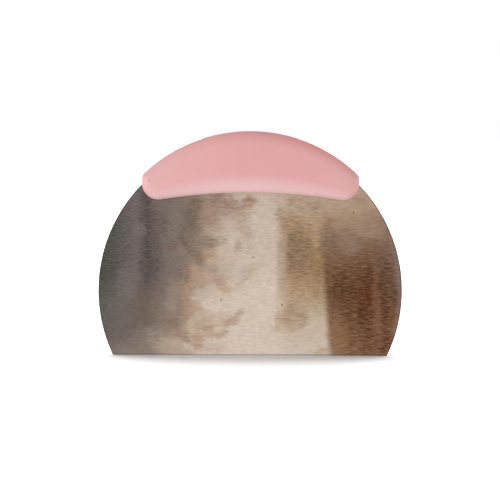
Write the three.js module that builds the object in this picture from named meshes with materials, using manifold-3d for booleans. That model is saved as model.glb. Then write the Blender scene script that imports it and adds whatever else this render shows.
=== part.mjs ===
// Half-moon dough scraper: a stainless sheet blade clamped between the two moulded halves of a crescent
// grip and held there by three dowel pins through the hidden top of the blade.
// Millimetres. The tool is drawn flat, X across, Y up and its front towards +Z, and then stood on its
// scraping edge: +Z is up, X runs along the edge and the front looks along -Y. The origin is the middle
// of the edge.

import * as THREE from "three";
import { mergeVertices } from "three/addons/utils/BufferGeometryUtils.js";
import Module from "manifold-3d";

const wasm = await Module();
wasm.setup();

// Blade: a disc of sheet steel cut off by the straight scraping edge
const BLADE_RADIUS = 65;
const BLADE_CENTRE_HEIGHT = 27.7; // centre of the round edge above the scraping edge
const BLADE_THICKNESS = 0.8;
const BLADE_EDGE_BREAK = 0.1; // deburring chamfer all round

// Grip outline: a crescent over the top of the round edge
const GRIP_OVERHANG = 3.3; // plastic above the highest point of the blade
const GRIP_TOP_EASE = 1.2; // how much larger than the blade's the grip's top radius is
const GRIP_DEPTH = 26.2; // top edge down to the lower edge, at the middle
const GRIP_SHOULDER_DROP = 19; // how far the top edge falls from the middle to the ends
const GRIP_LOWER_RADIUS = 239;
const GRIP_TOP_CORNER = 3;
const GRIP_LOWER_CORNER = 7;
const CORNER_LIMIT = 0.6; // a corner takes at most this share of the straight end

// Grip section: a flat land at the parting line, then an elliptical flank up to a flat crown
const GRIP_THICKNESS = 12;
const GRIP_LAND = 1.2; // height of the land on each half
const CROWN_TOP_INSET = 6;
const CROWN_LOWER_INSET = 8.5; // at the middle of the lower edge
const CROWN_TIP_INSET = 4.5; // at the ends of the lower edge
const CROWN_LIMIT = 0.75; // a flank covers at most this share of the way to the spine

// Inside of the grip: pockets cored out of each half, with bosses for the pins and ribs between them
const CROWN_WALL = 2;
const RIB_THICKNESS = 1.6;
const BOSS_WALL = 2;
const BLADE_SEAT_CLEARANCE = 0.3; // round the blade's edge in its seat

// Pins
const PIN_DIAMETER = 4;
const PIN_SPACING = 27;
const PIN_CHAMFER = 0.4;
const PIN_SOCKET_CLEARANCE = 0.1; // radial, in the grip
const PIN_HOLE_CLEARANCE = 0.15; // radial, in the blade
const PIN_END_CLEARANCE = 0.3; // at each blind end

// Facets
const BLADE_ARC_STEPS = 96;
const GRIP_ARC_STEPS = 18; // half of the top or lower edge
const CORNER_STEPS = 6;
const FLANK_STEPS = 6;
const ROUND_STEPS = 32;

// Places that follow from the sizes above
const gripTop = BLADE_CENTRE_HEIGHT + BLADE_RADIUS + GRIP_OVERHANG;
const gripTopRadius = BLADE_RADIUS + GRIP_TOP_EASE;
const gripTopCentre = gripTop - gripTopRadius;
const gripLowerCentre = gripTop - GRIP_DEPTH - GRIP_LOWER_RADIUS;
const gripHalfWidth = Math.sqrt(gripTopRadius ** 2 - (gripTopRadius - GRIP_SHOULDER_DROP) ** 2);
const gripHalfThickness = GRIP_THICKNESS / 2;
const pocketDepth = gripHalfThickness - CROWN_WALL;
const pinRadius = PIN_DIAMETER / 2;

const topEdge = (x) => gripTopCentre + Math.sqrt(gripTopRadius ** 2 - x ** 2);
const lowerEdge = (x) => gripLowerCentre + Math.sqrt(GRIP_LOWER_RADIUS ** 2 - x ** 2);
const spineHeight = (x) => (topEdge(x) + lowerEdge(x)) / 2;
const gripEndHeight = topEdge(gripHalfWidth) - lowerEdge(gripHalfWidth);
const spineHalf = gripHalfWidth - gripEndHeight / 2;

const pinPlaces = [
  { side: "left", x: -PIN_SPACING },
  { side: "centre", x: 0 },
  { side: "right", x: PIN_SPACING },
];

// Points along an arc, both ends included.
function arc(centreX, centreY, radius, from, to, steps) {
  const curve = new THREE.EllipseCurve(centreX, centreY, radius, radius, from, to, to < from);
  return curve.getPoints(steps);
}

function circle(centreX, centreY, radius) {
  return arc(centreX, centreY, radius, 0, 2 * Math.PI, ROUND_STEPS).slice(0, -1);
}

// A flat slab of an outline, from Z = 0 upwards.
function slab(outline, thickness) {
  return new THREE.ExtrudeGeometry(outline, { depth: thickness, bevelEnabled: false });
}

// A closed geometry as a solid that can be cut and joined.
function toSolid(geometry) {
  const bare = new THREE.BufferGeometry();
  bare.setAttribute("position", geometry.getAttribute("position"));
  bare.setIndex(geometry.getIndex());
  const merged = mergeVertices(bare);
  const vertProperties = merged.getAttribute("position").array;
  const triVerts = new Uint32Array(merged.getIndex().array);
  return new wasm.Manifold(new wasm.Mesh({ numProp: 3, vertProperties, triVerts }));
}

function toGeometry(solid) {
  const mesh = solid.getMesh();
  const geometry = new THREE.BufferGeometry();
  geometry.setAttribute("position", new THREE.BufferAttribute(mesh.vertProperties, 3));
  geometry.setIndex(new THREE.BufferAttribute(mesh.triVerts, 1));
  geometry.computeVertexNormals();
  return geometry;
}

// The sheet's outline, grown outwards by a clearance.
function bladeOutline(growth) {
  const radius = BLADE_RADIUS + growth;
  const start = -Math.asin((BLADE_CENTRE_HEIGHT + growth) / radius);
  return new THREE.Shape(arc(0, BLADE_CENTRE_HEIGHT, radius, start, Math.PI - start, BLADE_ARC_STEPS));
}

// The blade: the sheet with its three pin holes and a broken edge.
function bladeGeometry() {
  const outline = bladeOutline(0);
  for (const { x } of pinPlaces) {
    outline.holes.push(new THREE.Path(circle(x, spineHeight(x), pinRadius + PIN_HOLE_CLEARANCE)));
  }
  const depth = BLADE_THICKNESS - 2 * BLADE_EDGE_BREAK;
  const geometry = new THREE.ExtrudeGeometry(outline, {
    depth,
    bevelThickness: BLADE_EDGE_BREAK,
    bevelSize: BLADE_EDGE_BREAK,
    bevelOffset: -BLADE_EDGE_BREAK,
    bevelSegments: 1,
  });
  return geometry.translate(0, 0, -depth / 2);
}

// The grip's outline at the parting line, counter-clockwise from the middle of the lower edge.
function gripRim() {
  const lowerCorner = Math.min(GRIP_LOWER_CORNER, CORNER_LIMIT * gripEndHeight);
  const topCorner = Math.min(GRIP_TOP_CORNER, CORNER_LIMIT * gripEndHeight);

  const lowerX = gripHalfWidth - lowerCorner;
  const lowerTurn = Math.asin(lowerX / (GRIP_LOWER_RADIUS + lowerCorner));
  const lowerY = gripLowerCentre + (GRIP_LOWER_RADIUS + lowerCorner) * Math.cos(lowerTurn);

  const topX = gripHalfWidth - topCorner;
  const topTurn = Math.acos(topX / (gripTopRadius - topCorner));
  const topY = gripTopCentre + (gripTopRadius - topCorner) * Math.sin(topTurn);

  const middle = Math.PI / 2;
  const rightHalf = [
    ...arc(0, gripLowerCentre, GRIP_LOWER_RADIUS, middle, middle - lowerTurn, GRIP_ARC_STEPS),
    ...arc(lowerX, lowerY, lowerCorner, -middle - lowerTurn, 0, CORNER_STEPS).slice(1),
    ...arc(topX, topY, topCorner, 0, topTurn, CORNER_STEPS),
    ...arc(0, gripTopCentre, gripTopRadius, topTurn, middle, GRIP_ARC_STEPS).slice(1),
  ];
  const leftHalf = rightHalf.slice(1, -1).reverse();
  return [...rightHalf, ...leftHalf.map((point) => new THREE.Vector2(-point.x, point.y))];
}

// Where a point of the rim arrives on the crown: it moves towards the spine of the crescent.
function crownPoint(rimPoint) {
  const spineX = THREE.MathUtils.clamp(rimPoint.x, -spineHalf, spineHalf);
  const spinePoint = new THREE.Vector2(spineX, spineHeight(spineX));
  const lowerInset = THREE.MathUtils.lerp(
    CROWN_LOWER_INSET,
    CROWN_TIP_INSET,
    (rimPoint.x / gripHalfWidth) ** 2,
  );
  const inset = rimPoint.y < spinePoint.y ? lowerInset : CROWN_TOP_INSET;
  const wayToSpine = rimPoint.distanceTo(spinePoint);
  return rimPoint.clone().lerp(spinePoint, Math.min(inset / wayToSpine, CROWN_LIMIT));
}

// A closed geometry through flat rings of equally many points, each { points, z }, in rising order.
function loft(rings) {
  const count = rings[0].points.length;
  const positions = rings.flatMap(({ points, z }) => points.flatMap((point) => [point.x, point.y, z]));
  const triangles = [];
  for (let ring = 0; ring + 1 < rings.length; ring++) {
    for (let i = 0; i < count; i++) {
      const low = ring * count + i;
      const lowNext = ring * count + ((i + 1) % count);
      triangles.push(low, lowNext, lowNext + count, low, lowNext + count, low + count);
    }
  }
  const lastRing = (rings.length - 1) * count;
  for (const [a, b, c] of THREE.ShapeUtils.triangulateShape(rings[0].points, [])) {
    triangles.push(c, b, a);
  }
  for (const [a, b, c] of THREE.ShapeUtils.triangulateShape(rings.at(-1).points, [])) {
    triangles.push(lastRing + a, lastRing + b, lastRing + c);
  }
  const geometry = new THREE.BufferGeometry();
  geometry.setAttribute("position", new THREE.Float32BufferAttribute(positions, 3));
  geometry.setIndex(triangles);
  return geometry;
}

// One half of the grip without its inside, from the parting line up to the crown.
function gripBlock(rim, crown) {
  const flankHeight = gripHalfThickness - GRIP_LAND;
  const rings = [
    { points: rim, z: 0 },
    { points: rim, z: GRIP_LAND },
  ];
  for (let step = 1; step <= FLANK_STEPS; step++) {
    const turn = (step / FLANK_STEPS) * (Math.PI / 2);
    const inwards = 1 - Math.cos(turn);
    rings.push({
      points: rim.map((point, i) => point.clone().lerp(crown[i], inwards)),
      z: GRIP_LAND + flankHeight * Math.sin(turn),
    });
  }
  return toSolid(loft(rings));
}

// A round bar along Z from the parting line, at a pin's place.
function pinBar(x, radius, length) {
  const bar = new THREE.CylinderGeometry(radius, radius, length, ROUND_STEPS);
  bar.rotateX(Math.PI / 2);
  bar.translate(x, spineHeight(x), length / 2);
  return toSolid(bar);
}

// One half of the grip. Both halves come out of the same mould and face each other.
function gripShellGeometry() {
  const rim = gripRim();
  const crown = rim.map(crownPoint);

  const socketRadius = pinRadius + PIN_SOCKET_CLEARANCE;
  let pockets = toSolid(slab(new THREE.Shape(crown), pocketDepth));
  for (const { x } of pinPlaces) {
    pockets = pockets.subtract(pinBar(x, socketRadius + BOSS_WALL, GRIP_THICKNESS));
  }
  for (const x of [-PIN_SPACING / 2, PIN_SPACING / 2]) {
    const rib = new THREE.BoxGeometry(RIB_THICKNESS, 2 * GRIP_DEPTH, GRIP_THICKNESS);
    pockets = pockets.subtract(toSolid(rib.translate(x, spineHeight(x), gripHalfThickness)));
  }

  const seat = slab(bladeOutline(BLADE_SEAT_CLEARANCE), BLADE_THICKNESS);
  let shell = gripBlock(rim, crown).subtract(pockets);
  shell = shell.subtract(toSolid(seat.translate(0, 0, -BLADE_THICKNESS / 2)));
  for (const { x } of pinPlaces) {
    shell = shell.subtract(pinBar(x, socketRadius, pocketDepth));
  }
  return toGeometry(shell);
}

// A dowel pin with chamfered ends, turned about Y.
function pinGeometry() {
  const halfLength = pocketDepth - PIN_END_CLEARANCE;
  const profile = [
    new THREE.Vector2(0, -halfLength),
    new THREE.Vector2(pinRadius - PIN_CHAMFER, -halfLength),
    new THREE.Vector2(pinRadius, PIN_CHAMFER - halfLength),
    new THREE.Vector2(pinRadius, halfLength - PIN_CHAMFER),
    new THREE.Vector2(pinRadius - PIN_CHAMFER, halfLength),
    new THREE.Vector2(0, halfLength),
  ];
  return new THREE.LatheGeometry(profile, ROUND_STEPS);
}

function piece(name, geometry, color, roughness, metalness) {
  const mesh = new THREE.Mesh(geometry, new THREE.MeshStandardMaterial({ color, roughness, metalness }));
  mesh.name = name;
  return mesh;
}

const brushedSteel = ["#b4a293", 0.35, 1];
const pinkPlastic = ["#e3a9a8", 0.5, 0];
const pinSteel = ["#b9b9b6", 0.3, 1];

const upright = new THREE.Group();
upright.rotation.x = Math.PI / 2;

upright.add(piece("blade", bladeGeometry(), ...brushedSteel));

upright.add(piece("grip_front_shell", gripShellGeometry(), ...pinkPlastic));

const rearShell = piece("grip_rear_shell", gripShellGeometry(), ...pinkPlastic);
rearShell.rotation.y = Math.PI;
upright.add(rearShell);

for (const { side, x } of pinPlaces) {
  const pin = piece(`blade_pin_${side}`, pinGeometry(), ...pinSteel);
  pin.rotation.x = Math.PI / 2;
  pin.position.set(x, spineHeight(x), 0);
  upright.add(pin);
}

const doughScraper = new THREE.Group();
doughScraper.name = "dough_scraper";
doughScraper.add(upright);

export default doughScraper;
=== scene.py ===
import math

import bmesh
import bpy
from mathutils import Color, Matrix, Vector


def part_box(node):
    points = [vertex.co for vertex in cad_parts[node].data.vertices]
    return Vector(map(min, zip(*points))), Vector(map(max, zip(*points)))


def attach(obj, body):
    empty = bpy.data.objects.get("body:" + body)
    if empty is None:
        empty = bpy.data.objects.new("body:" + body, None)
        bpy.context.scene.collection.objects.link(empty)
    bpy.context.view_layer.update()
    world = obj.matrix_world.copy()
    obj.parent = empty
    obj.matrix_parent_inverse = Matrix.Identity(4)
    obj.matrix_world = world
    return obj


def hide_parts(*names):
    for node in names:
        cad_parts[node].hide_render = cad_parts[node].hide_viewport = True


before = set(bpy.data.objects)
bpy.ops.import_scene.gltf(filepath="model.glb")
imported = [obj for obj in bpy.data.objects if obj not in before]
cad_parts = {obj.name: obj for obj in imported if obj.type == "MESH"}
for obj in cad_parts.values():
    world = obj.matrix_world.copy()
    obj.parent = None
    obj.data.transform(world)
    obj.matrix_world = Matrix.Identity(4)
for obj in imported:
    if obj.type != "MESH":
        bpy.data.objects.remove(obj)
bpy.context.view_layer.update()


# Blade
# A half-moon of stainless sheet, stamped from strip that was ground along its length, with the burr taken
# off its edges. Its hidden top is the tang, with three holes for the dowel pins that hold it in the grip.
# Use has left it hazed: grey on the left, clean in the middle, heat-tinted brown on the right, and smeared.
# The grey and the brown are partly haze and tint on the steel and partly painted reflection of the
# surroundings.
MM = 0.001
_, blade_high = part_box("blade")
blade_radius = 65 * MM
blade_centre = blade_high.z - blade_radius
blade_half_thickness = blade_high.y
blade_edge_round = 0.16 * MM
blade_edge_steps = 4
blade_arc_steps = 256
blade_sharp_angle = math.radians(50)
pin_names = ("blade_pin_left", "blade_pin_centre", "blade_pin_right")
pin_hole_clearance = 0.15 * MM
pin_hole_steps = 48


def pin_place(name):
    """A pin's X, Z and radius, from its solid in the frame."""
    low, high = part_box(name)
    return (low.x + high.x) / 2, (low.z + high.z) / 2, (high.x - low.x) / 2


def circle(x, z, radius, y, steps):
    """A ring of points round a place on the blade, at a depth in Y."""
    turns = [2 * math.pi * step / steps for step in range(steps)]
    return [(x + radius * math.cos(turn), y, z + radius * math.sin(turn)) for turn in turns]


def blade_outline(inset, y):
    """The half-moon drawn in by an inset, from its lower right corner over the top to the lower left."""
    radius = blade_radius - inset
    start = -math.asin((blade_centre - inset) / radius)
    turns = [start + (math.pi - 2 * start) * step / blade_arc_steps for step in range(blade_arc_steps + 1)]
    return [(radius * math.cos(turn), y, blade_centre + radius * math.sin(turn)) for turn in turns]


def add_ring(mesh, points):
    """Points of a mesh, in order round a ring."""
    return [mesh.verts.new(point) for point in points]


def join_rings(mesh, ring, next_ring):
    """A closed band of faces between two rings of equally many points."""
    return [
        mesh.faces.new((ring[i - 1], ring[i], next_ring[i], next_ring[i - 1]))
        for i in range(len(ring))
    ]


def fill_face(mesh, *loops):
    """A flat face inside the first loop and outside the others."""
    edges = []
    for loop in loops:
        for i in range(len(loop)):
            ends = (loop[i - 1], loop[i])
            edges.append(mesh.edges.get(ends) or mesh.edges.new(ends))
    filled = bmesh.ops.triangle_fill(mesh, edges=edges, use_beauty=True)
    return [part for part in filled["geom"] if isinstance(part, bmesh.types.BMFace)]


def finish_piece(name, mesh, flat_faces, material, sharp_angle):
    """Turns a closed mesh into a piece of the object, smooth except on its flat faces and sharp edges."""
    for face in mesh.faces:
        face.smooth = True
    for face in flat_faces:
        face.smooth = False
    bmesh.ops.recalc_face_normals(mesh, faces=mesh.faces)
    data = bpy.data.meshes.new(name)
    mesh.to_mesh(data)
    mesh.free()
    data.set_sharp_from_angle(angle=sharp_angle)
    data.materials.append(material)
    made = bpy.data.objects.new(name, data)
    bpy.context.scene.collection.objects.link(made)
    return made


def blade_mesh():
    """The stamped sheet: a rounded edge all round, two flat faces, and the pin holes through the tang."""
    mesh = bmesh.new()
    section = []
    for step in range(blade_edge_steps + 1):
        turn = math.pi / 2 * step / blade_edge_steps
        inset = blade_edge_round * (1 - math.sin(turn))
        section.append((inset, blade_half_thickness - blade_edge_round * (1 - math.cos(turn))))
    front = [add_ring(mesh, blade_outline(inset, -y)) for inset, y in section]
    rear = [add_ring(mesh, blade_outline(inset, y)) for inset, y in section]
    rings = front + rear[::-1]
    for ring, next_ring in zip(rings, rings[1:]):
        join_rings(mesh, ring, next_ring)
    front_loops = [rings[0]]
    rear_loops = [rings[-1]]
    for pin in pin_names:
        x, z, radius = pin_place(pin)
        hole = radius + pin_hole_clearance
        front_hole = add_ring(mesh, circle(x, z, hole, -blade_half_thickness, pin_hole_steps))
        rear_hole = add_ring(mesh, circle(x, z, hole, blade_half_thickness, pin_hole_steps))
        join_rings(mesh, front_hole, rear_hole)
        front_loops.append(front_hole)
        rear_loops.append(rear_hole)
    flat_faces = fill_face(mesh, *front_loops) + fill_face(mesh, *rear_loops)
    return mesh, flat_faces


def tone(code):
    """A colour written as sRGB hex, as the shader's linear values."""
    red, green, blue = (int(code[i:i + 2], 16) / 255 for i in (1, 3, 5))
    return (*Color((red, green, blue)).from_srgb_to_scene_linear(), 1)


class Finish:
    """A surface finish under way: one material's nodes, with a short call for each kind that it needs."""

    def __init__(self, name):
        self.material = bpy.data.materials.new(name)
        self.material.use_nodes = True
        self.nodes = self.material.node_tree.nodes
        self.links = self.material.node_tree.links
        self.shader = self.nodes["Principled BSDF"]

    def put(self, value, socket):
        """Fills an input with a plain value or with what another node gives."""
        if isinstance(value, bpy.types.NodeSocket):
            self.links.new(value, socket)
        else:
            socket.default_value = value

    def node(self, kind, *values, **settings):
        """A node with its settings made and its first inputs filled in order."""
        made = self.nodes.new(kind)
        for name, setting in settings.items():
            setattr(made, name, setting)
        for value, socket in zip(values, made.inputs):
            self.put(value, socket)
        return made

    def vector(self, operation, *values):
        """A vector worked out from vectors."""
        return self.node("ShaderNodeVectorMath", *values, operation=operation).outputs["Vector"]

    def measure(self, operation, *values):
        """A number worked out from vectors."""
        return self.node("ShaderNodeVectorMath", *values, operation=operation).outputs["Value"]

    def math(self, operation, *values):
        """A number worked out from numbers."""
        return self.node("ShaderNodeMath", *values, operation=operation).outputs["Value"]

    def product(self, first, *others):
        """Numbers multiplied together in turn."""
        for other in others:
            first = self.math("MULTIPLY", first, other)
        return first

    def place(self):
        """Where a point of the surface is on the object, in millimetres."""
        return self.vector("DIVIDE", self.node("ShaderNodeTexCoord").outputs["Object"], (MM, MM, MM))

    def split(self, vector):
        """A vector's X, Y and Z."""
        return self.node("ShaderNodeSeparateXYZ", vector).outputs

    def combine(self, x, y, z):
        """A vector made of X, Y and Z."""
        return self.node("ShaderNodeCombineXYZ", x, y, z).outputs["Vector"]

    def own_face(self, across, through):
        """The side that a point is on, -1 at the front and 1 at the rear, and X as seen from that side."""
        facing = self.math("SIGN", through)
        return facing, self.product(across, self.product(facing, -1.0))

    def rise(self, value, start, end, low=0.0, high=1.0):
        """A smooth change from low to high as the value goes from start to end."""
        made = self.node("ShaderNodeMapRange", value, start, end, low, high, interpolation_type="SMOOTHSTEP")
        return made.outputs["Result"]

    def noise(self, place, size, detail=2.0):
        """Cloudy noise whose blotches are about size millimetres along X, Y and Z."""
        made = self.node("ShaderNodeTexNoise", self.vector("DIVIDE", place, size))
        made.inputs["Scale"].default_value = 1
        made.inputs["Detail"].default_value = detail
        return made.outputs

    def ramp(self, value, *stops):
        """A colour that follows a value through a few tones, each stop being its value and its tone."""
        start, end = stops[0][0], stops[-1][0]
        share = self.node("ShaderNodeMapRange", value, start, end).outputs["Result"]
        made = self.node("ShaderNodeValToRGB", share)
        elements = made.color_ramp.elements
        while len(elements) < len(stops):
            elements.new(0.5)
        for element, (at, code) in zip(elements, stops):
            element.position = (at - start) / (end - start)
            element.color = tone(code)
        return made.outputs["Color"]

    def mix(self, share, first, second):
        """A colour that goes from the first to the second as the share goes from 0 to 1."""
        made = self.node("ShaderNodeMix", data_type="RGBA")
        self.put(share, made.inputs["Factor"])
        self.put(first, made.inputs["A"])
        self.put(second, made.inputs["B"])
        return made.outputs["Result"]

    def blend(self, share, first, second):
        """A number that goes from the first to the second as the share goes from 0 to 1."""
        made = self.node("ShaderNodeMix", share)
        self.put(first, made.inputs["A"])
        self.put(second, made.inputs["B"])
        return made.outputs["Result"]

    def vary(self, colour, noise, amount):
        """The colour made darker and lighter by a share of itself, as the noise strays from a half."""
        made = self.node("ShaderNodeVectorMath", colour, operation="SCALE")
        stray = self.math("SUBTRACT", noise, 0.5)
        self.put(self.math("MULTIPLY_ADD", stray, amount, 1.0), made.inputs["Scale"])
        return made.outputs["Vector"]

    def along(self, place, start, way):
        """How far a place lies from a start in X and Z, measured along a unit way."""
        from_start = self.vector("SUBTRACT", place, (start[0], 0, start[1]))
        return self.measure("DOT_PRODUCT", from_start, (way[0], 0, way[1]))

    def brightness(self, colour):
        """How bright a colour looks, from its red, green and blue."""
        return self.measure("DOT_PRODUCT", colour, (0.3, 0.6, 0.1))

    def patch(self, place, x, z, half_length, half_height, tilt=0):
        """How far out a place lies in an oval, from 0 to 2, 1 being its edge; a tilt rises to the right."""
        any_depth = 1000
        made = self.node("ShaderNodeTexGradient", place, gradient_type="SPHERICAL")
        made.texture_mapping.vector_type = "TEXTURE"
        made.texture_mapping.translation = (x, 0, z)
        made.texture_mapping.rotation = (0, -math.radians(tilt), 0)
        made.texture_mapping.scale = (2 * half_length, any_depth, 2 * half_height)
        return self.math("MULTIPLY_ADD", made.outputs["Fac"], -2.0, 2.0)

    def bump(self, height, distance, strength):
        """Fine relief that is felt in the light only."""
        made = self.node("ShaderNodeBump")
        made.inputs["Distance"].default_value = distance
        made.inputs["Strength"].default_value = strength
        self.put(height, made.inputs["Height"])
        self.put(made.outputs["Normal"], self.shader.inputs["Normal"])


# The tones of the broad zones. In a table, each has the place in millimetres where it is reached: across
# from the middle for the grey haze, up from the scraping edge for the others.
clean_steel = (
    (0, "#d3c1b3"), (18, "#d1c0b1"), (28, "#d2c1b2"), (36, "#cdbcad"), (48, "#c8b7a8"), (58, "#c9b8a9"),
    (68, "#c2b1a2"),
)
# The grey haze is partly haze on the steel and partly painted reflection of the surroundings
upper_grey_haze_and_reflection = (
    (-64, "#504e49"), (-57, "#5a5652"), (-49, "#6f6562"), (-44, "#59504d"), (-40, "#6b605b"),
    (-36, "#796d66"), (-31, "#81736a"), (-26, "#7b6c62"), (-18, "#95826f"),
)
lower_grey_haze_and_reflection = (
    (-63, "#635d58"), (-54, "#6f6661"), (-45, "#70635a"), (-37, "#85756a"), (-28, "#9a8674"),
)
olive_film = (
    (3, "#ccbbab"), (12, "#c4b29e"), (18, "#bca890"), (24, "#b3997d"), (30, "#ac8f72"), (36, "#9c7d5f"),
    (44, "#9c7f60"), (54, "#a68b6e"), (61, "#b29a83"), (68, "#b59f8c"),
)
# The heat tint is partly tint on the steel and partly painted reflection of the surroundings
heat_tint_and_reflection = (
    (0, "#7f5c47"), (8, "#75543c"), (16, "#6a4931"), (26, "#62402a"), (34, "#664630"), (41, "#775944"),
    (45, "#806552"), (50, "#8d7360"), (55, "#967c67"), (62, "#b0967f"), (68, "#b5a08d"),
)
haze_foot_tone = "#a08e7f"
thin_haze_tone = "#a98d78"
smoke_tone = "#8c735c"
worn_rim_tone = "#736056"
grey_rim_tone = "#8c7469"

# Where the zones change, in millimetres. A change has the place where it starts, the place where it is whole
# and, unless it goes from 0 to 1, the values that it goes between.
lower_haze = (36, 20)
haze_foot = (9, 0, 0, 0.4)
haze_edge_lean = (-12, 44, -33.0, -16.5)
haze_edge_width = (12, -13)
thin_haze_strength = 1.2
film_wander = 0.1
thin_film_edge = (10, 12.4, 0, 0.3)
thick_film_edge = (10.2, 18.6, 0, 0.7)
smoke_left = (14.6, 17.0)
smoke_right = (29.0, 21.0)
smoke_foot = (32, 42, 0, 0.85)
smoke_top = (57, 50)
tint_lift = (43, 51, 0, 3.2)
tint_edge_foot = 34.2
tint_edge_lean = -0.08
tint_edge_softness = (36, 60, 1.8, 5.0)
tint_edge_share = 0.86
tint_deepening = (0, 9, 0, 0.14)
rim_left = (38, 50)
worn_rim_foot = (16, 36)
worn_rim_top = (56, 40)
worn_rim_width = (7.5, 0.5, 0, 0.9)
grey_rim_foot = (7, 12)
grey_rim_top = (60, 52)
grey_rim_width = (3.0, 0.6, 0, 0.6)


def blade_zones_and_reflections(finish, across, up, from_rim, drift):
    """The broad zones: clean steel, grey haze at the left, an olive film, and a heat tint at the right; the
    grey and the brown are partly painted reflection.
    """
    # The haze ends along a leaning, wandering line, and is brown where it is thin
    upper_grey = finish.ramp(across, *upper_grey_haze_and_reflection)
    lower_grey = finish.ramp(across, *lower_grey_haze_and_reflection)
    grey = finish.mix(finish.rise(up, *lower_haze), upper_grey, lower_grey)
    grey = finish.mix(finish.rise(up, *haze_foot), grey, tone(haze_foot_tone))
    haze_edge = finish.rise(up, *haze_edge_lean)
    past_haze = finish.math("ADD", finish.math("SUBTRACT", across, haze_edge), drift)
    haze = finish.rise(past_haze, *haze_edge_width)
    colour = finish.mix(haze, finish.ramp(up, *clean_steel), grey)
    thin_haze = finish.product(haze, finish.math("SUBTRACT", 1.0, haze), thin_haze_strength)
    colour = finish.mix(thin_haze, colour, tone(thin_haze_tone))

    # The film starts at an upright line, thickens to the right of it, and is smoked near its top
    past_olive = finish.math("MULTIPLY_ADD", drift, film_wander, across)
    thin_film = finish.rise(past_olive, *thin_film_edge)
    thick_film = finish.rise(past_olive, *thick_film_edge)
    film = finish.math("ADD", thin_film, thick_film)
    colour = finish.mix(film, colour, finish.ramp(up, *olive_film))
    smoke = finish.product(
        finish.rise(past_olive, *smoke_left),
        finish.rise(past_olive, *smoke_right),
        finish.rise(up, *smoke_foot),
        finish.rise(up, *smoke_top),
    )
    colour = finish.mix(smoke, colour, tone(smoke_tone))

    # The tint starts along a line that leans to the left, crisp below and soft above, and is worn at the rim
    # The brown of the tint is partly painted reflection of the surroundings
    tint = finish.ramp(finish.math("SUBTRACT", up, finish.rise(across, *tint_lift)), *heat_tint_and_reflection)
    tint_edge = finish.math("MULTIPLY_ADD", up, tint_edge_lean, tint_edge_foot)
    past_tint = finish.math("SUBTRACT", across, tint_edge)
    softness = finish.rise(up, *tint_edge_softness)
    crisp = finish.rise(past_tint, finish.product(softness, -1.0), softness, 0, tint_edge_share)
    tint_and_reflection_share = finish.math("ADD", crisp, finish.rise(past_tint, *tint_deepening))
    colour = finish.mix(tint_and_reflection_share, colour, tint)
    at_right = finish.rise(across, *rim_left)
    worn_rim = finish.product(
        finish.rise(up, *worn_rim_foot),
        finish.rise(up, *worn_rim_top),
        finish.rise(from_rim, *worn_rim_width),
        at_right,
    )
    colour = finish.mix(worn_rim, colour, tone(worn_rim_tone))
    grey_rim = finish.product(
        finish.rise(up, *grey_rim_foot),
        finish.rise(up, *grey_rim_top),
        finish.rise(from_rim, *grey_rim_width),
        at_right,
    )
    return finish.mix(grey_rim, colour, tone(grey_rim_tone)), haze, tint_and_reflection_share
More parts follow.
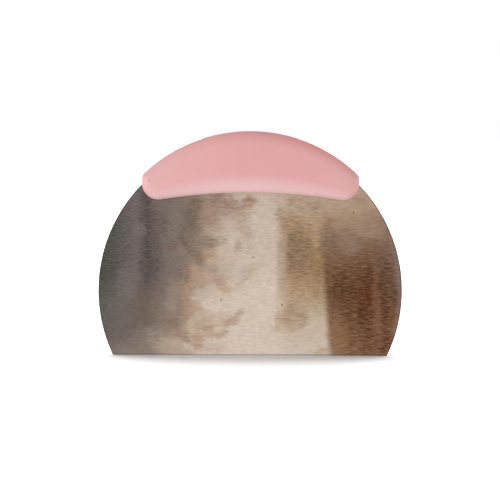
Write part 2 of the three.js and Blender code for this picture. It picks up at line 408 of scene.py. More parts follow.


# What handling and wiping have left on the blade; the smears named lit are painted light, and those named
# shade are painted shade. A kind of smear is whether wiping combed it out along the ground lines or it
# stayed round, how far it is frayed, and where it starts and is whole, 1 being its oval's edge. The smears
# lie one over another in this order.
# A smear is the middle of its oval in X and Z, half its length and height, how it tilts, its kind, its tone,
# and how much of the steel it hides.
soft = ("combed", 0.8, 1.5, 0.4)
frayed = ("combed", 1.6, 1.4, 0.5)
pressed = ("round", 0.3, 1.2, 0.65)
smooth = ("round", 0.5, 1.5, 0.4)
blade_smears = {
    # Knots, bands and wiped places in the grey haze
    "dark knot of haze": (-42.6, 38.6, 4.6, 3.0, 0, soft, "#5a4f4a", 0.6),
    "lit top of the haze": (-38.6, 64.6, 4.4, 3.0, 0, soft, "#7d7069", 0.7),
    "lit side of the haze": (-53.4, 31.0, 4.0, 7.5, 0, soft, "#756d69", 0.7),
    "lit knot of haze": (-47.0, 53.4, 2.6, 3.2, 0, soft, "#7b706d", 0.7),
    "dark smudge": (-37.0, 55.5, 2.0, 4.4, 0, soft, "#665c56", 0.6),
    "purple smudge": (-34.0, 46.4, 4.2, 2.4, 0, soft, "#76645d", 0.7),
    "band of haze": (-25.8, 56.6, 4.4, 9.4, -10, soft, "#77675c", 0.8),
    "head of the band": (-22.4, 65.2, 3.8, 3.4, 0, soft, "#75675a", 0.85),
    "wiped strip": (-11.2, 43.4, 3.4, 7.4, 0, soft, "#c5b3a2", 0.75),
    "brown haze": (-31.8, 28.0, 3.6, 4.4, 0, soft, "#998575", 0.8),
    "lit foot of the haze": (-45.0, 6.4, 5.6, 5.6, 0, soft, "#8b7c72", 0.75),
    "pale foot of the haze": (-39.6, 8.0, 4.6, 4.6, 0, soft, "#9b8b7f", 0.8),
    # Rose and brown haze that wiping drew out under the grip
    "rose haze": (-14.5, 66.2, 5.8, 3.2, 0, frayed, "#947a6e", 0.9),
    "left lobe of the rose haze": (-17.2, 60.0, 4.2, 4.4, 0, frayed, "#9c8072", 0.85),
    "right lobe of the rose haze": (-8.2, 62.8, 6.6, 4.0, -10, frayed, "#9c8071", 0.85),
    "tail of the rose haze": (-4.8, 57.6, 4.4, 3.8, 30, frayed, "#b09985", 0.75),
    "streak along the grip": (-13.4, 68.8, 4.6, 1.0, 0, soft, "#93796d", 0.8),
    "brown blot": (-1.0, 65.4, 4.0, 2.5, 15, soft, "#977b66", 0.95),
    "straw blot": (-1.8, 61.8, 3.4, 2.0, 0, frayed, "#b29a85", 0.8),
    "faint smear": (-1.6, 52.6, 3.0, 3.4, 0, soft, "#b29a84", 0.75),
    # The end of the haze, rubbed thin by a thumb
    "tongue of haze": (-19.6, 48.4, 7.8, 2.6, 2, frayed, "#887767", 0.9),
    "olive wedge": (-23.0, 42.6, 3.4, 2.2, -40, soft, "#897a68", 0.6),
    "gold rub": (-18.2, 42.4, 3.0, 2.8, 0, frayed, "#b0957e", 0.85),
    "pale gold rub": (-16.4, 40.0, 2.6, 1.8, 0, frayed, "#bda78f", 0.9),
    "rose rub": (-27.0, 37.2, 2.4, 3.0, 0, soft, "#94766a", 0.85),
    "orange rub": (-22.4, 36.4, 4.6, 1.6, -22, soft, "#b1947c", 0.85),
    "straw rub": (-20.8, 34.2, 5.4, 1.8, 0, frayed, "#b69b80", 0.9),
    "mauve rub": (-15.8, 36.6, 2.2, 1.6, 0, soft, "#a49083", 0.85),
    # Faint prints on the clean steel
    "faint veil": (0.4, 46.0, 2.6, 3.4, 0, soft, "#bba999", 0.5),
    "faint spot": (-5.6, 46.0, 2.4, 1.4, 60, soft, "#ab947f", 0.75),
    "faint round print": (-2.2, 35.6, 3.8, 3.0, -20, frayed, "#b8a492", 0.6),
    "top of the print": (1.2, 37.9, 3.4, 2.2, 15, soft, "#b7a492", 0.6),
    "edge of the print": (-2.4, 32.6, 7.2, 1.0, 45, pressed, "#b9a694", 0.6),
    "inside of the print": (-5.4, 31.0, 3.6, 3.4, -20, soft, "#c3b2a1", 0.7),
    # A brown band below the rubs, and a drip from it
    "brown band": (-19.6, 31.6, 8.0, 2.4, 8, frayed, "#b29883", 0.85),
    "rose band": (-17.0, 33.6, 3.4, 1.6, 0, frayed, "#bba091", 0.9),
    "brown thumb mark": (-12.8, 31.0, 2.6, 3.2, 0, frayed, "#b29884", 0.9),
    "straw foot of the mark": (-10.4, 28.2, 2.8, 2.0, -20, frayed, "#b8a086", 0.9),
    "brown drip": (-27.4, 21.6, 2.3, 11.0, 2, frayed, "#a48a71", 0.9),
    "orange head of the drip": (-26.4, 27.8, 1.8, 2.0, 0, soft, "#b3957e", 0.7),
    "rose edge of the drip": (-30.4, 20.5, 1.8, 4.0, 0, soft, "#92766a", 0.85),
    "pale spot": (-33.6, 21.6, 2.6, 3.0, 20, soft, "#9b8c7d", 0.85),
    # The foot of the haze
    "dull corner": (-33.5, 14.4, 5.5, 4.4, 0, soft, "#857264", 0.85),
    "mauve patch": (-29.6, 8.9, 3.8, 2.6, -15, soft, "#9f8472", 0.85),
    "mauve tip": (-26.8, 7.1, 1.9, 1.7, 0, soft, "#9d8474", 0.85),
    "pale corner": (-33.0, 3.4, 9.0, 2.8, -8, frayed, "#ad9b89", 0.85),
    "dull foot": (-18.0, 3.4, 7.4, 2.4, 0, soft, "#b5a191", 0.7),
    # A wiped window, the straw patch below it, and the dabs to either side
    "pale window": (-19.6, 25.0, 5.4, 4.2, 0, frayed, "#c5b4a6", 0.9),
    "pale wipe": (-16.8, 22.0, 3.6, 3.6, 0, soft, "#d2c0b2", 0.9),
    "dull rub": (-11.0, 15.8, 3.0, 3.4, 0, frayed, "#bda693", 0.7),
    "olive hook": (-23.4, 20.4, 2.8, 1.8, -35, frayed, "#b69d88", 0.85),
    "pale border": (-25.2, 13.0, 1.3, 3.8, 6, soft, "#c7b29b", 0.9),
    "straw patch": (-18.0, 13.4, 6.2, 4.4, 0, smooth, "#b9a088", 0.9),
    "straw top": (-22.4, 16.6, 2.0, 1.6, 0, frayed, "#c2af99", 0.85),
    "olive core": (-18.4, 11.2, 2.6, 1.5, 0, frayed, "#a99177", 0.9),
    "tan base": (-16.6, 8.4, 5.4, 1.6, 0, frayed, "#b9a08b", 0.9),
    "tan drop": (-22.4, 5.6, 2.4, 3.2, 0, frayed, "#af947b", 0.95),
    "pale wedge": (-32.8, 5.4, 6.4, 1.1, -15, pressed, "#b8a491", 0.6),
    "pale tip": (-26.3, 3.9, 2.2, 1.5, -10, pressed, "#c7b5a4", 0.85),
    "shade over the wedge": (-33.6, 8.9, 4.6, 0.9, -15, pressed, "#98826f", 0.5),
    "end of the base": (-12.2, 9.0, 2.6, 1.6, 25, soft, "#ad9483", 0.8),
    "dab": (-7.8, 14.8, 4.4, 2.0, 34, smooth, "#b59c88", 0.95),
    "thin end of the dab": (-4.6, 17.6, 2.8, 1.3, 42, frayed, "#b5a08f", 0.85),
    # The ragged top and right side of the olive film
    "brown tufts": (18.2, 57.2, 4.2, 2.6, 0, frayed, "#a28366", 0.9),
    "left tuft": (13.4, 60.2, 3.0, 2.4, -15, frayed, "#a2876f", 0.85),
    "olive side of the film": (14.9, 54.4, 2.0, 3.0, 0, soft, "#a1846a", 0.7),
    "olive tuft": (23.0, 52.8, 3.0, 1.6, 0, soft, "#a08262", 0.7),
    "bare top of the film": (27.8, 55.6, 2.2, 6.2, 0, soft, "#b4967c", 0.75),
    "brown edge of the film": (28.6, 32.0, 2.6, 8.4, 0, soft, "#957758", 0.5),
    "shade over the film": (19.6, 66.4, 3.4, 1.8, 0, soft, "#a2876e", 0.5),
    "mauve streak": (26.6, 63.8, 5.2, 1.7, 12, soft, "#a48b7b", 0.85),
    # The upper part of the heat tint
    "gold tuft": (33.6, 57.2, 2.8, 2.0, 0, frayed, "#957555", 0.9),
    "tail of the gold tuft": (38.0, 56.6, 3.4, 1.6, 0, frayed, "#a88b73", 0.8),
    "smoke at the corner": (34.0, 48.4, 3.8, 5.4, 0, smooth, "#7e6652", 0.85),
    "lit patch": (42.8, 47.0, 4.8, 3.2, 35, smooth, "#8d7464", 0.8),
    "pale shoulder": (49.0, 55.4, 8.0, 4.4, -24, smooth, "#a48a76", 0.7),
    "shade under the grip": (47.0, 66.4, 4.0, 2.6, 0, smooth, "#a08572", 0.75),
    "lit side of the tint": (54.6, 40.0, 2.6, 6.0, 0, smooth, "#765c4b", 0.7),
    "grey shade by the rim": (58.4, 30.4, 2.8, 10.0, 5, smooth, "#5d4437", 0.8),
    # A thumb print on the film, and the foot of the film
    "straw side of the print": (12.2, 14.8, 1.7, 4.2, 0, pressed, "#b69d82", 0.75),
    "thumb print": (19.1, 16.5, 6.2, 5.8, 0, pressed, "#aa907a", 1.0),
    "straw foot of the print": (16.4, 11.6, 6.0, 1.9, 0, soft, "#bea88e", 0.85),
    "brown foot": (31.4, 1.4, 4.0, 1.9, 0, soft, "#b79a7c", 0.8),
    "clean patch": (28.2, 10.0, 4.2, 6.6, 0, soft, "#c6b5a3", 0.85),
    # Streaks and shades in the lower part of the heat tint
    "green shade": (39.2, 28.2, 5.2, 3.8, 0, smooth, "#573b24", 0.7),
    "dark streak": (49.4, 22.4, 3.6, 12.6, 0, smooth, "#522b18", 0.8),
    "light streak": (54.2, 20.0, 1.6, 16.0, 0, smooth, "#7c5742", 0.75),
    "dark foot of the tint": (51.2, 5.6, 4.0, 7.0, 0, smooth, "#66422a", 0.8),
    "warm border": (37.8, 9.0, 4.4, 9.6, 5, smooth, "#946c4e", 0.5),
    "outer streak": (57.7, 19.0, 1.8, 8.0, 0, smooth, "#563722", 0.8),
    "outer corner": (57.9, 5.6, 2.2, 6.8, -12, smooth, "#56331f", 0.8),
}


# How the smears are drawn out, in millimetres: the swirls that carry them off their ovals and how far, the
# lines that wiping combed them along and how far, and the grains that fray them and wear them through.
smear_swirls = (5, 5, 4)
swirl_reach = 3.5
comb_lines = (7, 1, 0.7)
comb_reach = 6.0
fray_grain = (2.4, 1, 0.7)
wisp_grain = (6, 1, 1.2)
wisp_wear = (0.34, 0.6, 0.5, 1.0)

# A wipe that stopped along a slanting line left the haze dark above it and rubbed below. Each oval beside
# the line has its middle in X and Z, half its length and height, 1 for above or -1 for below, and its tone.
wipe_line_start = (-26.0, 43.1)
wipe_line_way = (0.8, 0.6)
wipe_line_tilt = -53
wipe_line_softness = 0.4
wipe_line_fraying = 0.8
wiped_oval_edge = (1.2, 0.4, 0, 0.8)
beside_wipe_line = (
    (-29.0, 48.6, 3.0, 2.2, 1, "#73635a"),
    (-23.0, 42.0, 6.0, 3.6, 1, "#857264"),
    (-28.3, 43.8, 4.6, 2.4, -1, "#8d7c70"),
    (-22.2, 35.8, 5.0, 2.4, -1, "#ae937d"),
)


def blade_smeared(finish, colour, place, hiding):
    """The steel's colour with the smears and the wipe over it, each smear straying from its oval."""
    swirl = finish.vector("SUBTRACT", finish.noise(place, smear_swirls, 3)["Color"], (0.5, 0.5, 0.5))
    strayed = finish.vector("ADD", place, finish.vector("MULTIPLY", swirl, (swirl_reach, 0, swirl_reach)))
    comb = finish.noise(place, comb_lines, 2)["Fac"]
    pull = finish.math("MULTIPLY_ADD", comb, comb_reach, -comb_reach / 2)
    combed = finish.vector("ADD", strayed, finish.combine(pull, 0.0, 0.0))
    places = {
        "round": finish.vector("MULTIPLY", strayed, (1, 0, 1)),
        "combed": finish.vector("MULTIPLY", combed, (1, 0, 1)),
    }
    fray = finish.math("SUBTRACT", finish.noise(place, fray_grain, 3)["Fac"], 0.5)
    wisps = finish.rise(finish.noise(place, wisp_grain, 4)["Fac"], *wisp_wear)
    hiding = finish.product(hiding, wisps)

    for name, (x, z, half_length, half_height, tilt, kind, code, own_hiding) in blade_smears.items():
        wiping, fraying, start, whole = kind
        out = finish.patch(places[wiping], x, z, half_length, half_height, tilt)
        out.node.label = name
        out = finish.math("MULTIPLY_ADD", fray, fraying, out)
        share = finish.product(finish.rise(out, start, whole, 0, own_hiding), hiding)
        colour = finish.mix(share, colour, tone(code))

    past_line = finish.along(place, wipe_line_start, wipe_line_way)
    past_line = finish.math("MULTIPLY_ADD", fray, wipe_line_fraying, past_line)
    for x, z, half_length, half_height, side, code in beside_wipe_line:
        out = finish.patch(place, x, z, half_length, half_height, wipe_line_tilt)
        own_side = finish.rise(past_line, -side * wipe_line_softness, side * wipe_line_softness)
        share = finish.product(finish.rise(out, *wiped_oval_edge), own_side, hiding)
        colour = finish.mix(share, colour, tone(code))
    return colour


# The sizes of the noise in the steel, in millimetres: the wandering of the haze's edge and how far it goes,
# blotches, the lines of grinding, which are shorter at the left, and the scratches.
haze_wander = (14, 14, 12)
haze_wander_reach = 18.0
steel_blotches = (3.5, 3, 2.5)
ground_lines = (3.8, 1, 0.6)
ground_specks = (1.7, 1, 0.45)
scratch_lines = (3.6, 1, 0.34)
faces_apart = 40.0

# How strongly each shows and where, changes being written as for the zones, and the marks over it all.
smears_on_average = 0.8
smears_lost_at_rear = -0.2
blotch_strength = 0.22
long_lines_share = (-40, 16, 0.4, 0.6)
line_strength = 0.36
lines_lost_in_haze = -0.2
lines_gained_in_film = (8, 18, 0, 0.14)
film_line_heights = (8, 26)
lines_gained_above = (24, 44, 0, 0.06)
lines_lost_in_tint = (24, 6, -0.45, -0.12)
scratch_depth = (0.48, 0.72)
scratch_heights = (32, 6, 0.46, 0.58)
scratch_tone = "#a9866c"
dark_specks = ((1.3, 42.1), (13.7, 21.7), (44.0, 61.3), (-12.4, 23.8))
dark_speck_half_sizes = (0.45, 0.4)
dark_speck_edge = (1.3, 0.5, 0, 0.7)
dark_speck_tone = "#5d4d43"
# A painted shade along the blade's edge all round
edge_shade_width = (0.7, 0.25, 0, 0.5)
edge_shade_tone = "#3f3a36"
ground_roughness = (0.3, 0.7, 0.36, 0.46)
ground_relief = 0.02 * MM
relief_strength = 0.3


def blade_finish():
    """Ground stainless, zoned and smeared. The rear has noise of its own, and its smears are fainter."""
    finish = Finish("ground_stainless")
    across, through, up = finish.split(finish.place())
    facing, own_across = finish.own_face(across, through)
    own_place = finish.combine(own_across, finish.product(facing, faces_apart), up)
    flat_place = finish.vector("MULTIPLY", own_place, (1, 0, 1))
    from_centre = finish.measure("DISTANCE", flat_place, (0, 0, blade_centre / MM))
    from_rim = finish.math("SUBTRACT", blade_radius / MM, from_centre)
    wander = finish.noise(own_place, haze_wander, 5)["Fac"]
    drift = finish.math("MULTIPLY_ADD", wander, haze_wander_reach, -haze_wander_reach / 2)
    colour, haze, tint_and_reflection_share = blade_zones_and_reflections(finish, own_across, up, from_rim, drift)
    smear_hiding = finish.math("MULTIPLY_ADD", facing, smears_lost_at_rear, smears_on_average)
    colour = blade_smeared(finish, colour, own_place, smear_hiding)

    # Blotches, and the fine ground lines along the strip, fainter in the haze and in the tint
    blotches = finish.noise(own_place, steel_blotches, 3)["Fac"]
    colour = finish.vary(colour, blotches, blotch_strength)
    lines = finish.noise(own_place, ground_lines, 2)["Fac"]
    specks = finish.noise(own_place, ground_specks, 2)["Fac"]
    grain = finish.blend(finish.rise(own_across, *long_lines_share), specks, lines)
    strength = finish.math("MULTIPLY_ADD", haze, lines_lost_in_haze, line_strength)
    in_film = finish.rise(own_across, *lines_gained_in_film)
    in_film = finish.product(in_film, finish.rise(up, *film_line_heights))
    strength = finish.math("ADD", strength, in_film)
    strength = finish.math("ADD", strength, finish.rise(up, *lines_gained_above))
    in_tint = finish.rise(up, *lines_lost_in_tint)
    strength = finish.product(strength, finish.math("MULTIPLY_ADD", tint_and_reflection_share, in_tint, 1.0))
    colour = finish.vary(colour, grain, finish.math("DIVIDE", strength, finish.brightness(colour)))

    # Brighter scratches in the tint, dark specks, and a painted shade along the edge all round
    scratches = finish.rise(finish.noise(own_place, scratch_lines, 3)["Fac"], *scratch_depth)
    scratches = finish.product(scratches, finish.rise(up, *scratch_heights), tint_and_reflection_share)
    colour = finish.mix(scratches, colour, tone(scratch_tone))
    for x, z in dark_specks:
        out = finish.patch(flat_place, x, z, *dark_speck_half_sizes)
        colour = finish.mix(finish.rise(out, *dark_speck_edge), colour, tone(dark_speck_tone))
    from_edge = finish.math("MINIMUM", from_rim, up)
    colour = finish.mix(finish.rise(from_edge, *edge_shade_width), colour, tone(edge_shade_tone))

    finish.put(colour, finish.shader.inputs["Base Color"])
    finish.put(1, finish.shader.inputs["Metallic"])
    finish.put(finish.rise(grain, *ground_roughness), finish.shader.inputs["Roughness"])
    finish.bump(grain, ground_relief, relief_strength)
    return finish.material


blade_piece = finish_piece("steel_blade", *blade_mesh(), blade_finish(), blade_sharp_angle)
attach(blade_piece, "root")
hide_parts("blade")


# Dowel pins
# Three short pins cut from drawn steel rod and chamfered at both ends. They pass through the holes in the
# tang and are pressed into the sockets of both grip halves, which hide them. Their solids are shown as
# they are.
drawn_lines = (0.15, 4, 0.15)
drawn_steel = ((0.3, "#a9a9a6"), (0.7, "#c6c6c2"))
drawn_roughness = (0.2, 0.8, 0.24, 0.38)


def pin_finish():
    """Bare steel with the fine lines of the drawing die along each pin."""
    finish = Finish("drawn_pin_steel")
    drawn = finish.noise(finish.place(), drawn_lines)["Fac"]
    finish.put(finish.ramp(drawn, *drawn_steel), finish.shader.inputs["Base Color"])
    finish.put(1, finish.shader.inputs["Metallic"])
    finish.put(finish.rise(drawn, *drawn_roughness), finish.shader.inputs["Roughness"])
    return finish.material


pin_material = pin_finish()
for pin in pin_names:
    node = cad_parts[pin]
    node.data.materials.clear()
    node.data.materials.append(pin_material)


# Grip halves
# A crescent of pink polypropylene in two halves from one mould, turned to face each other over the tang.
# Each has a narrow land at the parting line, a rounded flank and a nearly flat crown, a seat for the blade
# and blind sockets for the pins. The mould was spark-eroded, so the surface is fine and matt.
grip_low, grip_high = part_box("grip_front_shell")
grip_half_width = grip_high.x
grip_top = grip_high.z
grip_half_thickness = -grip_low.y
grip_top_radius = 66.2 * MM
grip_top_centre = grip_top - grip_top_radius
grip_lower_radius = 239 * MM
grip_depth = 26.2 * MM
grip_lower_centre = grip_top - grip_depth - grip_lower_radius
grip_top_corner = 3 * MM
grip_lower_corner = 7 * MM
grip_land = 1.2 * MM
crown_top_inset = 6 * MM
crown_lower_inset = 8.5 * MM
crown_tip_inset = 4.5 * MM
crown_limit = 0.75
crown_dome = 0.15 * MM
seam_gap = 0.03 * MM
seam_break = 0.12 * MM
seat_depth = blade_half_thickness + 0.02 * MM
seat_radius = blade_radius + 0.3 * MM
socket_clearance = 0.1 * MM
socket_depth = 4 * MM
grip_arc_steps = 90
corner_steps = 24
flank_steps = 24
dome_shares = (0.2, 0.45, 0.7, 0.88)
seat_steps = 160
seat_crossing_halvings = 40
grip_sharp_angle = math.radians(40)


def top_edge(x):
    """The height of the crescent's upper edge."""
    return grip_top_centre + math.sqrt(grip_top_radius ** 2 - x ** 2)


def lower_edge(x):
    """The height of the crescent's lower edge."""
    return grip_lower_centre + math.sqrt(grip_lower_radius ** 2 - x ** 2)


def spine_point(point):
    """The nearest place on the crescent's middle line, which stops short of the round ends."""
    end_height = top_edge(grip_half_width) - lower_edge(grip_half_width)
    reach = grip_half_width - end_height / 2
    x = max(-reach, min(reach, point.x))
    return Vector((x, (top_edge(x) + lower_edge(x)) / 2))


def arc(x, z, radius, start, end, steps):
    """Points from one turn to another round a centre, with both ends."""
    turns = [start + (end - start) * step / steps for step in range(steps + 1)]
    return [Vector((x + radius * math.cos(turn), z + radius * math.sin(turn))) for turn in turns]


def grip_rim():
    """The crescent at the parting line, counter-clockwise from the middle of its lower edge."""
    lower_x = grip_half_width - grip_lower_corner
    lower_turn = math.asin(lower_x / (grip_lower_radius + grip_lower_corner))
    lower_z = grip_lower_centre + (grip_lower_radius + grip_lower_corner) * math.cos(lower_turn)
    top_x = grip_half_width - grip_top_corner
    top_turn = math.acos(top_x / (grip_top_radius - grip_top_corner))
    top_z = grip_top_centre + (grip_top_radius - grip_top_corner) * math.sin(top_turn)
    middle = math.pi / 2
    right = arc(0, grip_lower_centre, grip_lower_radius, middle, middle - lower_turn, grip_arc_steps)
    right += arc(lower_x, lower_z, grip_lower_corner, -middle - lower_turn, 0, corner_steps)[1:]
    right += arc(top_x, top_z, grip_top_corner, 0, top_turn, corner_steps)
    right += arc(0, grip_top_centre, grip_top_radius, top_turn, middle, grip_arc_steps)[1:]
    left = [Vector((-point.x, point.y)) for point in right[-2:0:-1]]
    return right + left


def crown_point(point):
    """Where the flank that starts at a rim point arrives on the crown."""
    spine = spine_point(point)
    share = (point.x / grip_half_width) ** 2
    lower_inset = crown_lower_inset + (crown_tip_inset - crown_lower_inset) * share
    inset = lower_inset if point.y < spine.y else crown_top_inset
    return point.lerp(spine, min(inset / (spine - point).length, crown_limit))


def drawn_in(point, inset):
    """A rim point moved a little towards the spine."""
    way = spine_point(point) - point
    return point + way * (inset / way.length)


def inside_seat(point):
    """Whether a place on the parting plane lies over the blade."""
    return math.hypot(point.x, point.y - blade_centre) < seat_radius


def with_seat_crossings(rim):
    """The rim with a point added at each end where the seat's round edge cuts it, and those two points."""
    made = []
    crossings = []
    for i, point in enumerate(rim):
        made.append(point)
        following = rim[(i + 1) % len(rim)]
        first = drawn_in(point, seam_break)
        second = drawn_in(following, seam_break)
        if inside_seat(first) != inside_seat(second):
            low, high = (0.0, 1.0) if inside_seat(first) else (1.0, 0.0)
            for _ in range(seat_crossing_halvings):
                half = (low + high) / 2
                if inside_seat(drawn_in(point.lerp(following, half), seam_break)):
                    low = half
                else:
                    high = half
            crossings.append(len(made))
            made.append(point.lerp(following, (low + high) / 2))
    return made, crossings


def grip_mesh(turned):
    """One grip half. The rear one is the front one turned half round about the vertical."""
    mesh = bmesh.new()
    side = -1 if turned else 1

    def at(point, depth):
        return (side * point.x, -side * depth, point.y)

    def ring_at(points, depth):
        return add_ring(mesh, [at(point, depth) for point in points])

    # The outside: a broken edge at the seam, the land, the rounded flank and the slightly domed crown
    rim, (right_cross, left_cross) = with_seat_crossings(grip_rim())
    crown = [crown_point(point) for point in rim]
    count = len(rim)
    over_blade = [i < right_cross or i > left_cross for i in range(count)]
    flank_height = grip_half_thickness - crown_dome - grip_land
    broken = [
        mesh.verts.new(at(point, (seat_depth if over else seam_gap) + seam_break))
        for point, over in zip(rim, over_blade)
    ]
    rings = [broken, ring_at(rim, grip_land)]
    for step in range(1, flank_steps + 1):
        turn = math.pi / 2 * step / flank_steps
        points = [point.lerp(top, 1 - math.cos(turn)) for point, top in zip(rim, crown)]
        rings.append(ring_at(points, grip_land + flank_height * math.sin(turn)))
    for share in dome_shares:
        points = [top.lerp(spine_point(point), share) for point, top in zip(rim, crown)]
        rings.append(ring_at(points, grip_half_thickness - crown_dome * (1 - share) ** 2))
    for ring, next_ring in zip(rings, rings[1:]):
        join_rings(mesh, ring, next_ring)
    fill_face(mesh, rings[-1])

    # The inside: the land outside the seat lies on the parting plane, the seat's floor on the blade
    inner = [drawn_in(point, seam_break) for point in rim]
    land_edge = {}
    seat_edge = {}
    for i in range(count):
        on_crossing = i in (right_cross, left_cross)
        if on_crossing or over_blade[i]:
            seat_edge[i] = mesh.verts.new(at(inner[i], seat_depth))
        if on_crossing or not over_blade[i]:
            land_edge[i] = mesh.verts.new(at(inner[i], seam_gap))
    for i in range(count):
        j = (i + 1) % count
        edge = land_edge if right_cross <= i < left_cross else seat_edge
        mesh.faces.new((broken[i], broken[j], edge[j], edge[i]))
    for i in (right_cross, left_cross):
        mesh.faces.new((broken[i], seat_edge[i], land_edge[i]))

    start = math.atan2(inner[right_cross].y - blade_centre, inner[right_cross].x)
    end = math.atan2(inner[left_cross].y - blade_centre, inner[left_cross].x)
    wall = arc(0, blade_centre, seat_radius, start, end, seat_steps)[1:-1]
    wall_top = [land_edge[right_cross], *ring_at(wall, seam_gap), land_edge[left_cross]]
    wall_foot = [seat_edge[right_cross], *ring_at(wall, seat_depth), seat_edge[left_cross]]
    for i in range(len(wall_top) - 1):
        mesh.faces.new((wall_top[i], wall_top[i + 1], wall_foot[i + 1], wall_foot[i]))
    land_loop = [land_edge[i] for i in range(right_cross, left_cross)] + wall_top[:0:-1]
    land_faces = fill_face(mesh, land_loop)

    seat_loop = [seat_edge[i % count] for i in range(left_cross + 1, right_cross + count)] + wall_foot
    seat_loops = [seat_loop]
    sockets = []
    for pin in pin_names:
        x, z, radius = pin_place(pin)
        hole = circle(side * x, z, radius + socket_clearance, 0, pin_hole_steps)
        edge = [Vector((edge_x, edge_z)) for edge_x, _, edge_z in hole]
        mouth = ring_at(edge, seat_depth)
        foot = ring_at(edge, socket_depth)
        join_rings(mesh, mouth, foot)
        sockets += fill_face(mesh, foot)
        seat_loops.append(mouth)
    seat_faces = fill_face(mesh, *seat_loops)
    return mesh, land_faces + seat_faces + sockets


# The tones of the plastic. In a table, each has the place in millimetres across from the middle where it is
# reached. Changes are written as for the blade's zones.
# The body's tones are painted lighter towards the ends, most at the left, where the light comes from
grip_body = ((-46, "#e8b4b3"), (-28, "#e8aeae"), (-4, "#e6a7a7"), (25, "#e5a8a8"), (46, "#e3aeac"))
# A painted highlight along the lower edge
lower_edge_painted_highlight = ((-46, "#e8bbba"), (-30, "#e9bebe"), (0, "#e9c0c0"), (30, "#e5baba"), (46, "#e4bbbb"))
# Painted light and shade on the upper flank: lighter at the left end, darker and warmer to the right
upper_flank_painted_light = ((-46, "#ebb6b5"), (-20, "#eaafad"), (5, "#e7a4a2"), (30, "#eba39c"), (46, "#e9aeaa"))
painted_flank_crown_side = (5.8, 4.4)
painted_flank_seam_side = (1.4, 3.4)
painted_flank_upper_half = (1.0, -6.0)
highlight_height_most = 9.5
highlight_height_lost = -6.5
highlight_whole_height = 1.2
gate_mark = (-43.2, 74.9)
gate_mark_radius = 0.9
gate_mark_edge = (1.3, 0.3, 0, 0.5)
gate_mark_tone = "#c98f8d"
# A painted shade along the parting line, on the upper half only
seam_shade_depths = (3.8, 0.2, 0, 0.4)
seam_shade_upper_half = (4.0, -4.0)
seam_shade_tone = "#bd9f9d"
plastic_clouds = (9, 9, 9)
cloud_strength = 0.06
plastic_mottle = (1.1, 1.1, 1.1)
mottle_strength = 0.05
plastic_roughness = (0.3, 0.7, 0.44, 0.52)
plastic_gloss = 0.35
spark_grain = (0.25, 0.25, 0.25)
spark_relief = 0.02 * MM
spark_strength = 0.5


def grip_finish():
    """Matt pink plastic, with a painted highlight along its lower edge, painted light and shade on its upper
    flank, and painted shade at the seam.
    """
    finish = Finish("moulded_pink_plastic")
    place = finish.place()
    across, through, up = finish.split(place)
    _, own_across = finish.own_face(across, through)
    depth = finish.math("ABSOLUTE", through)
    flat_place = finish.vector("MULTIPLY", place, (1, 0, 1))
    from_top_centre = finish.measure("DISTANCE", flat_place, (0, 0, grip_top_centre / MM))
    below_top = finish.math("SUBTRACT", grip_top_radius / MM, from_top_centre)
    from_lower_centre = finish.measure("DISTANCE", flat_place, (0, 0, grip_lower_centre / MM))
    above_lower = finish.math("SUBTRACT", from_lower_centre, grip_lower_radius / MM)
    near_lower = finish.math("SUBTRACT", below_top, above_lower)

    # Painted light and shade on the upper flank, between the land and the crown
    flank = finish.product(
        finish.rise(depth, *painted_flank_crown_side),
        finish.rise(depth, *painted_flank_seam_side),
        finish.rise(near_lower, *painted_flank_upper_half),
    )
    colour = finish.mix(flank, finish.ramp(across, *grip_body), finish.ramp(across, *upper_flank_painted_light))
    # A painted highlight along the lower edge, widest in the middle and narrow at the ends
    bend = finish.math("POWER", finish.math("DIVIDE", across, grip_half_width / MM), 2.0)
    highlight_height = finish.math("MULTIPLY_ADD", bend, highlight_height_lost, highlight_height_most)
    lower_highlight = finish.rise(above_lower, highlight_height, highlight_whole_height)
    colour = finish.mix(lower_highlight, colour, finish.ramp(across, *lower_edge_painted_highlight))
    gate = finish.patch(finish.combine(own_across, 0.0, up), *gate_mark, gate_mark_radius, gate_mark_radius)
    colour = finish.mix(finish.rise(gate, *gate_mark_edge), colour, tone(gate_mark_tone))
    # A painted shade along the parting line on the upper half, darker and greyer at the edge
    seam_shade = finish.rise(depth, *seam_shade_depths)
    seam_shade = finish.product(seam_shade, finish.rise(near_lower, *seam_shade_upper_half))
    colour = finish.mix(seam_shade, colour, tone(seam_shade_tone))

    clouds = finish.noise(place, plastic_clouds, 3)["Fac"]
    colour = finish.vary(colour, clouds, cloud_strength)
    mottle = finish.noise(place, plastic_mottle)["Fac"]
    colour = finish.vary(colour, mottle, mottle_strength)
    finish.put(colour, finish.shader.inputs["Base Color"])
    finish.put(finish.rise(clouds, *plastic_roughness), finish.shader.inputs["Roughness"])
    finish.put(plastic_gloss, finish.shader.inputs["Specular IOR Level"])
    finish.bump(finish.noise(place, spark_grain)["Fac"], spark_relief, spark_strength)
    return finish.material


grip_material = grip_finish()
for name, shell, turned in (
    ("grip_front_half", "grip_front_shell", False),
    ("grip_rear_half", "grip_rear_shell", True),
):
    half = finish_piece(name, *grip_mesh(turned), grip_material, grip_sharp_angle)
    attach(half, "root")
    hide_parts(shell)


# Floor
# A wide matt white table top. The tool and its metal get plain white light from it, with no shadow, and the
# eye sees it as the lamps light it, with the tool's shadow.
table_half = 20.0
table_tone = (0.86, 0.86, 0.86, 1)
table_roughness = 0.95
white_that_the_tool_sees = 0.99


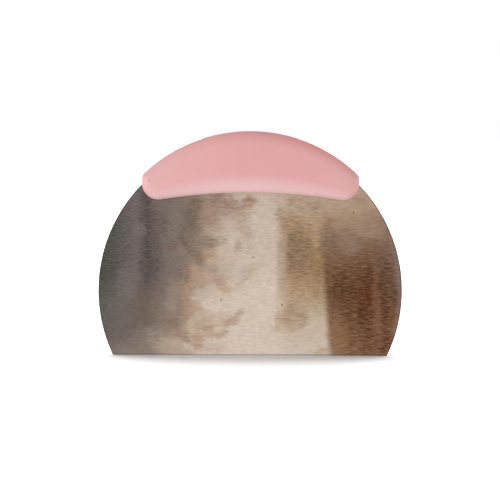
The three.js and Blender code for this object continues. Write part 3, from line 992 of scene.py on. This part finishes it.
def table_finish():
    """Matt white to the eye, and plain white light to everything else."""
    finish = Finish("white_table")
    finish.put(table_tone, finish.shader.inputs["Base Color"])
    finish.put(table_roughness, finish.shader.inputs["Roughness"])
    finish.put(0, finish.shader.inputs["Specular IOR Level"])
    white = finish.node("ShaderNodeEmission")
    finish.put(white_that_the_tool_sees, white.inputs["Strength"])
    to_the_eye = finish.node("ShaderNodeLightPath").outputs["Is Camera Ray"]
    shown = finish.node("ShaderNodeMixShader", to_the_eye, white.outputs[0], finish.shader.outputs[0])
    finish.put(shown.outputs[0], finish.nodes["Material Output"].inputs["Surface"])
    return finish.material


table_corners = [(-table_half, -table_half, 0), (table_half, -table_half, 0)]
table_corners += [(-x, -y, 0) for x, y, _ in table_corners]
table_mesh = bpy.data.meshes.new("table")
table_mesh.from_pydata(table_corners, [], [(0, 1, 2, 3)])
table_mesh.materials.append(table_finish())
table = bpy.data.objects.new("table", table_mesh)
bpy.context.scene.collection.objects.link(table)


# Light
# A white studio: an even surround that is dimmer overhead, a soft lamp from the left, and a very broad lamp
# far above and behind that lights only the table, washes it white and throws the tool's shadow forwards.
horizon_level = 0.87
overhead_level = 0.46
dimming_start = 0.1
dimming_end = 0.9
key_power = 3.0
key_size = 0.6
key_place = Vector((-0.87, -0.5, 0.15))
key_target = Vector((0, 0, 0.06))
table_lamp_strength = 5.5
table_lamp_elevation = math.radians(50)
table_lamp_slant = 0.05
table_lamp_softness = math.radians(80)


def surround():
    """The even surround. The eye and the metal see it as plain white."""
    world = bpy.data.worlds.new("white_studio")
    bpy.context.scene.world = world
    world.use_nodes = True
    nodes = world.node_tree.nodes
    links = world.node_tree.links
    path = nodes.new("ShaderNodeLightPath")
    coordinates = nodes.new("ShaderNodeTexCoord")
    axes = nodes.new("ShaderNodeSeparateXYZ")
    links.new(coordinates.outputs["Generated"], axes.inputs[0])
    dimmer = nodes.new("ShaderNodeMapRange")
    dimmer.interpolation_type = "SMOOTHSTEP"
    dimmer.inputs["From Min"].default_value = dimming_start
    dimmer.inputs["From Max"].default_value = dimming_end
    dimmer.inputs["To Min"].default_value = horizon_level
    dimmer.inputs["To Max"].default_value = overhead_level
    links.new(axes.outputs["Z"], dimmer.inputs["Value"])
    seen = nodes.new("ShaderNodeMath")
    seen.operation = "MAXIMUM"
    links.new(path.outputs["Is Camera Ray"], seen.inputs[0])
    links.new(path.outputs["Is Glossy Ray"], seen.inputs[1])
    level = nodes.new("ShaderNodeMix")
    links.new(seen.outputs[0], level.inputs["Factor"])
    links.new(dimmer.outputs["Result"], level.inputs["A"])
    level.inputs["B"].default_value = 1
    links.new(level.outputs["Result"], nodes["Background"].inputs["Strength"])
    nodes["Background"].inputs["Color"].default_value = (1, 1, 1, 1)


def aim(lamp, direction):
    """Points a lamp along a direction and puts it in the scene."""
    lamp.rotation_euler = Vector(direction).to_track_quat("-Z", "Y").to_euler()
    bpy.context.scene.collection.objects.link(lamp)


surround()

key_data = bpy.data.lights.new("key_lamp", "AREA")
key_data.shape = "DISK"
key_data.size = key_size
key_data.energy = key_power
key_lamp = bpy.data.objects.new("key_lamp", key_data)
key_lamp.location = key_place
aim(key_lamp, key_target - key_place)

table_lamp_data = bpy.data.lights.new("table_lamp", "SUN")
table_lamp_data.energy = table_lamp_strength
table_lamp_data.angle = table_lamp_softness
table_lamp = bpy.data.objects.new("table_lamp", table_lamp_data)
table_lamp_forwards = -math.cos(table_lamp_elevation)
table_lamp_down = -math.sin(table_lamp_elevation)
aim(table_lamp, (table_lamp_slant, table_lamp_forwards, table_lamp_down))
table_only = bpy.data.collections.new("lit_by_table_lamp")
table_only.objects.link(table)
table_lamp.light_linking.receiver_collection = table_only


# Camera
# Square to the front and a little above the table, a metre away, with a long lens. It is rolled by a quarter
# of a degree, to match the slope in the photograph.
camera_distance = 1.0
camera_elevation = math.radians(3)
camera_roll = math.radians(-0.25)
camera_aim = Vector((-0.38 * MM, 0, 45.17 * MM))
frame_width = 214 * MM
sensor_width = 36.0

camera_data = bpy.data.cameras.new("camera")
camera_data.sensor_width = sensor_width
camera_data.lens = sensor_width * camera_distance / frame_width
camera = bpy.data.objects.new("camera", camera_data)
camera_way = Vector((0, -math.cos(camera_elevation), math.sin(camera_elevation)))
camera.location = camera_aim + camera_distance * camera_way
camera.rotation_euler = (math.pi / 2 - camera_elevation, camera_roll, 0)
bpy.context.scene.collection.objects.link(camera)
bpy.context.scene.camera = camera
bpy.context.scene.view_settings.view_transform = "Standard"
